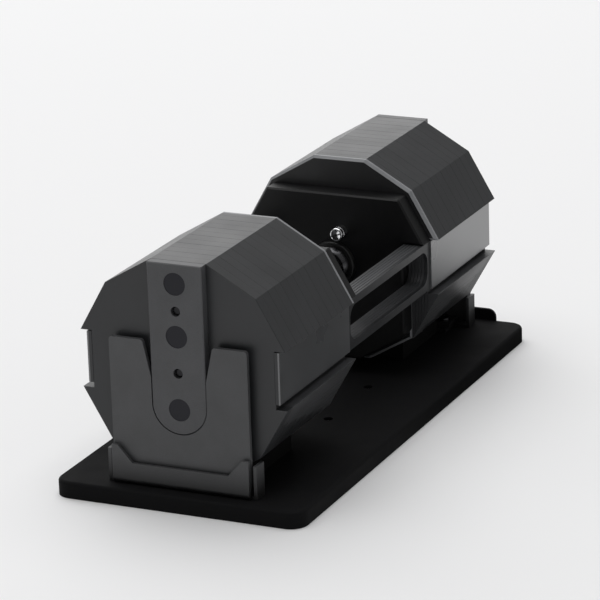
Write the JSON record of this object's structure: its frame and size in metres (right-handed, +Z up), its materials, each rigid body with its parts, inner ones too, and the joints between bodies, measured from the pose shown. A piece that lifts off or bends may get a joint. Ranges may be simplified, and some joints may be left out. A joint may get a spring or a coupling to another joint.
{
  "type": "adjustable dumbbell with dock",
  "caption": "Adjustable dumbbell with twelve-sided nested steel weight shells around a twist-grip core, resting in a low dock with slotted end walls on a flat tray.",
  "frame": {"origin": "middle of the dock's underside, on the plane it rests on", "axes": "+X along the dumbbell towards the rear end, the end wall seen in the picture faces -X; +Y to the left; +Z up"},
  "size_m": [0.528, 0.234, 0.216],
  "materials": {
    "tray_black": "satin black powder coat",
    "dock_steel": "dark grey powder coat",
    "saddle_rubber": "matte",
    "fastener_steel": "black zinc",
    "plate_coat": "fine textured dark grey powder coat over steel",
    "rail_coat": "satin dark grey powder coat over steel",
    "frame_coat": "satin near-black powder coat over steel",
    "pin_steel": "blackened",
    "bar_coat": "fine textured dark grey powder coat over steel",
    "magnet_dark": "dark plated magnet",
    "core_coat": "black powder coat over steel",
    "bush_dark": "satin",
    "guide_brass": "turned",
    "rod_steel": "ground",
    "grip_black": "knurled, black oxide",
    "button_chrome": "polished",
    "cheek_satin": "smooth satin dark grey",
    "rim_satin": "black coat with the outer edge left in grey satin"
  },
  "bodies": {
    "dock": {"base_tray": "tray_black", "cradle_front": "dock_steel", "cradle_rear": "dock_steel", "end_wall_front": "dock_steel", "end_wall_rear": "dock_steel", "saddle_front": "saddle_rubber", "saddle_rear": "saddle_rubber", "dock_screws": "fastener_steel", "dock_nuts": "fastener_steel"},
    "shell_1": {"shell_1_plates_front": "plate_coat", "shell_1_plates_rear": "plate_coat", "shell_1_rails": "rail_coat", "shell_1_rim_front": "rim_satin", "shell_1_rim_rear": "rim_satin"},
    "shell_2": {"shell_2_plates_front": "plate_coat", "shell_2_plates_rear": "plate_coat", "shell_2_rails": "rail_coat"},
    "shell_3": {"shell_3_plates_front": "plate_coat", "shell_3_plates_rear": "plate_coat", "shell_3_rails": "rail_coat"},
    "shell_4": {"shell_4_plates_front": "plate_coat", "shell_4_plates_rear": "plate_coat", "shell_4_rails": "rail_coat"},
    "shell_5": {"shell_5_plates_front": "plate_coat", "shell_5_plates_rear": "plate_coat", "shell_5_rails": "rail_coat"},
    "shell_6": {"shell_6_plates_front": "plate_coat", "shell_6_plates_rear": "plate_coat", "shell_6_rails": "frame_coat", "shell_6_side_bars": "rail_coat", "shell_6_cheeks": "cheek_satin", "locating_pins": "pin_steel"},
    "end_bar_front_body": {"end_bar_front": "bar_coat", "magnets_front": "magnet_dark"},
    "core": {"core_plate_front": "core_coat", "grip_bush_front": "bush_dark", "rod_guide_front": "guide_brass", "lock_cap_front": "pin_steel", "lock_spring_front": "rod_steel", "core_plate_rear": "core_coat", "grip_bush_rear": "bush_dark", "rod_guide_rear": "guide_brass", "lock_cap_rear": "pin_steel", "lock_spring_rear": "rod_steel", "core_tube": "rod_steel"},
    "button_front_body": {"lock_button_front": "button_chrome"},
    "rod_front_body": {"selector_rod_front": "rod_steel", "follower_pin_front": "rod_steel"},
    "end_bar_rear_body": {"end_bar_rear": "bar_coat", "magnets_rear": "magnet_dark"},
    "button_rear_body": {"lock_button_rear": "button_chrome"},
    "rod_rear_body": {"selector_rod_rear": "rod_steel", "follower_pin_rear": "rod_steel"},
    "grip": {"grip_sleeve": "grip_black"}
  },
  "joints": [
    {"name": "lift_all_shells", "type": "slide", "parent": "dock", "child": "shell_6", "axis": [0, 0, 1], "range_m": [0, 0.2]},
    {"name": "lift_shell_5", "type": "slide", "parent": "shell_6", "child": "shell_5", "axis": [0, 0, 1], "range_m": [0, 0.2]},
    {"name": "lift_shell_4", "type": "slide", "parent": "shell_5", "child": "shell_4", "axis": [0, 0, 1], "range_m": [0, 0.2]},
    {"name": "lift_shell_3", "type": "slide", "parent": "shell_4", "child": "shell_3", "axis": [0, 0, 1], "range_m": [0, 0.2]},
    {"name": "lift_shell_2", "type": "slide", "parent": "shell_3", "child": "shell_2", "axis": [0, 0, 1], "range_m": [0, 0.2]},
    {"name": "lift_shell_1", "type": "slide", "parent": "shell_2", "child": "shell_1", "axis": [0, 0, 1], "range_m": [0, 0.2]},
    {"name": "lift_core", "type": "slide", "parent": "shell_1", "child": "core", "axis": [0, 0, 1], "range_m": [0, 0.2]},
    {"name": "grip_twist", "type": "hinge", "parent": "core", "child": "grip", "pos_m": [0, 0, 0.12], "axis": [1, 0, 0], "range_deg": [0, 168]},
    {"name": "rod_front_slide", "type": "slide", "parent": "core", "child": "rod_front_body", "axis": [-1, 0, 0], "range_m": [0, 0.1447]},
    {"name": "rod_rear_slide", "type": "slide", "parent": "core", "child": "rod_rear_body", "axis": [1, 0, 0], "range_m": [0, 0.1447]},
    {"name": "end_bar_front_pull", "type": "slide", "parent": "shell_6", "child": "end_bar_front_body", "axis": [-1, 0, 0], "range_m": [0, 0.05]},
    {"name": "end_bar_rear_pull", "type": "slide", "parent": "shell_6", "child": "end_bar_rear_body", "axis": [1, 0, 0], "range_m": [0, 0.05]},
    {"name": "lock_button_front_press", "type": "slide", "parent": "core", "child": "button_front_body", "axis": [-1, 0, 0], "range_m": [0, 0.004], "stiffness_N_per_m": 500, "springref_m": -0.004, "deforming": ["lock_spring_front"]},
    {"name": "lock_button_rear_press", "type": "slide", "parent": "core", "child": "button_rear_body", "axis": [1, 0, 0], "range_m": [0, 0.004], "stiffness_N_per_m": 500, "springref_m": -0.004, "deforming": ["lock_spring_rear"]}
  ],
  "couplings": [
    {"joint": "rod_front_slide", "follows": "grip_twist", "m_per_rad": 0.049315},
    {"joint": "rod_rear_slide", "follows": "grip_twist", "m_per_rad": 0.049315}
  ]
}
